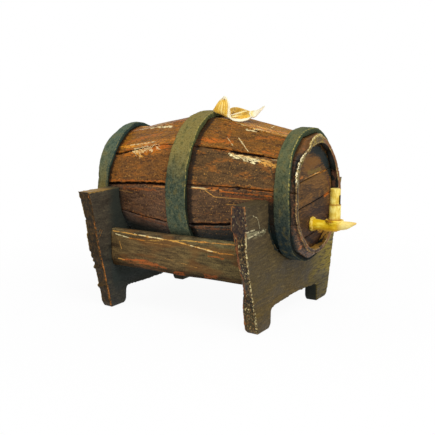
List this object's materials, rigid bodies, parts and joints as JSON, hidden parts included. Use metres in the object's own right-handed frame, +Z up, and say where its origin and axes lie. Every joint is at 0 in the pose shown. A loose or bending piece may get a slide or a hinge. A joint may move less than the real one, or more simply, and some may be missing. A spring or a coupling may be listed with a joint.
{
  "type": "liquor cask dispenser",
  "caption": "Small oak cask lying in a two-board stand, with leather hoops, a wooden turning tap in the front head and a bung with a curled cloth on top.",
  "frame": {"origin": "on the table, under the middle of the part's box", "axes": "+Z up, -Y the way the tap points, +X to the right seen from the front"},
  "size_m": [0.1846, 0.2142, 0.1757],
  "materials": {
    "board_oak": "dark weathered oak, rough",
    "rail_oak": "dark weathered oak, hewn bevels",
    "stave_oak": "brown oiled oak with raw splintered seams",
    "head_oak": "ochre brown oak",
    "dowel_wood": "plain",
    "hoop_leather": "grey-green napped strap",
    "rivet_iron": "dark iron",
    "tap_wood": "pale yellow waxed wood",
    "caulking": "ragged caulking fibre",
    "bung_wood": "pale plug",
    "bung_cloth": "cream woven strip"
  },
  "bodies": {
    "stand": {"front_board": "board_oak", "rear_board": "board_oak", "left_rail": "rail_oak", "right_rail": "rail_oak"},
    "cask": {"stave_01": "stave_oak", "stave_02": "stave_oak", "stave_03": "stave_oak", "stave_04": "stave_oak", "stave_05": "stave_oak", "stave_06": "stave_oak", "stave_07": "stave_oak", "stave_08": "stave_oak", "stave_09": "stave_oak", "stave_10": "stave_oak", "stave_11": "stave_oak", "stave_12": "stave_oak", "front_head_top_board": "head_oak", "front_head_upper_board": "head_oak", "front_head_lower_board": "head_oak", "front_head_bottom_board": "head_oak", "rear_head_top_board": "head_oak", "rear_head_upper_board": "head_oak", "rear_head_lower_board": "head_oak", "rear_head_bottom_board": "head_oak", "front_head_dowels": "dowel_wood", "rear_head_dowels": "dowel_wood", "front_hoop": "hoop_leather", "centre_hoop": "hoop_leather", "rear_hoop": "hoop_leather", "hoop_rivets": "rivet_iron", "tap_body": "tap_wood", "tap_seal": "caulking"},
    "key": {"tap_key": "tap_wood"},
    "bung": {"bung_plug": "bung_wood", "bung_cloth": "bung_cloth"}
  },
  "joints": [
    {"name": "cask_lift", "type": "slide", "parent": "stand", "child": "cask", "axis": [0, 0, 1], "range_m": [0, 0.12]},
    {"name": "key_turn", "type": "hinge", "parent": "cask", "child": "key", "pos_m": [0, -0.08895, 0.0764], "axis": [0, 0, 1], "range_deg": [0, 90]},
    {"name": "bung_pull", "type": "slide", "parent": "cask", "child": "bung", "axis": [-0.1132, 0, 0.9936], "range_m": [0, 0.03]}
  ]
}
